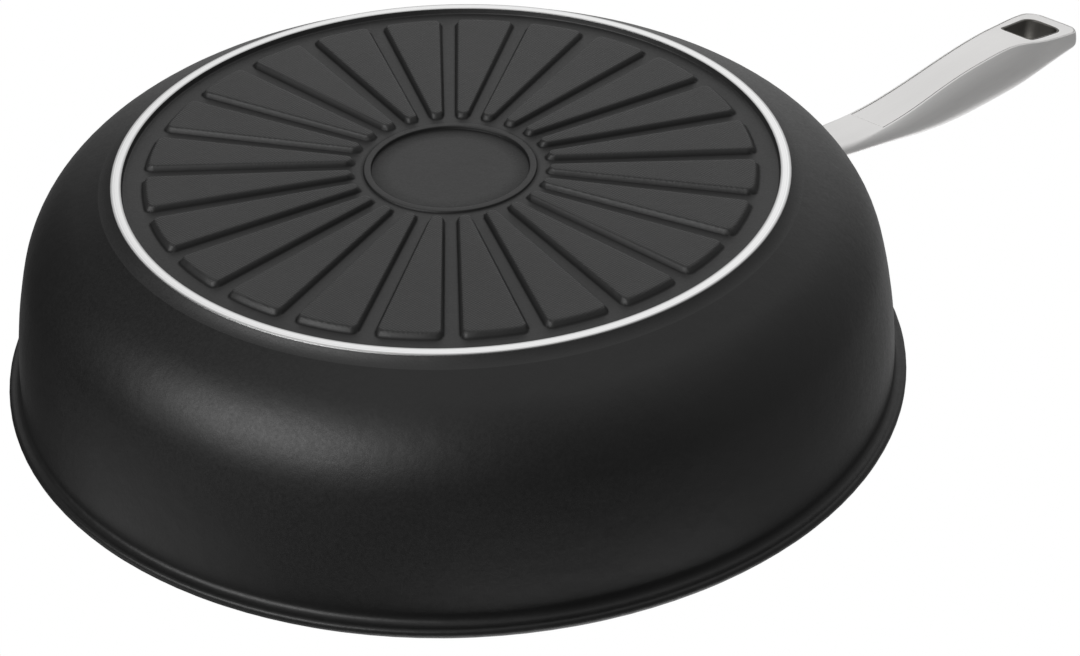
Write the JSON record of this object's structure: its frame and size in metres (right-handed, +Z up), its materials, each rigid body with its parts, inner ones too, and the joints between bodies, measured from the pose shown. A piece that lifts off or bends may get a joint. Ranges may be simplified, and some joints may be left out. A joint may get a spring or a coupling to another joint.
{
  "type": "deep frying pan",
  "caption": "Deep round frying pan with a turned base ring, a radial relief of raised pads under the base, and a long hollow riveted handle with a hanging eye.",
  "frame": {"origin": "on the pan's own axis, in the plane of the turned ring that the pan stands on", "axes": "+Z up along the pan's axis and out of its mouth, +X along the handle away from the pan, +Y across the handle"},
  "size_m": [0.4809, 0.288, 0.0979],
  "materials": {
    "coated_casting": "cast, with a satin black coating outside, a non-stick coating inside and a bare turned ring under the base",
    "bracket_steel": "satin",
    "handle_steel": "fine satin brushing along the handle",
    "handle_plate_steel": "fine satin brushing along the handle",
    "sleeve_steel": "satin",
    "rivet_metal": "satin"
  },
  "bodies": {
    "root": {"pan_body": "coated_casting", "neck_bracket": "bracket_steel", "handle_upper_shell": "handle_steel", "handle_lower_plate": "handle_plate_steel", "hanging_eye_sleeve": "sleeve_steel", "rivet_right": "rivet_metal", "rivet_left": "rivet_metal", "rivet_lower": "rivet_metal"}
  },
  "joints": []
}
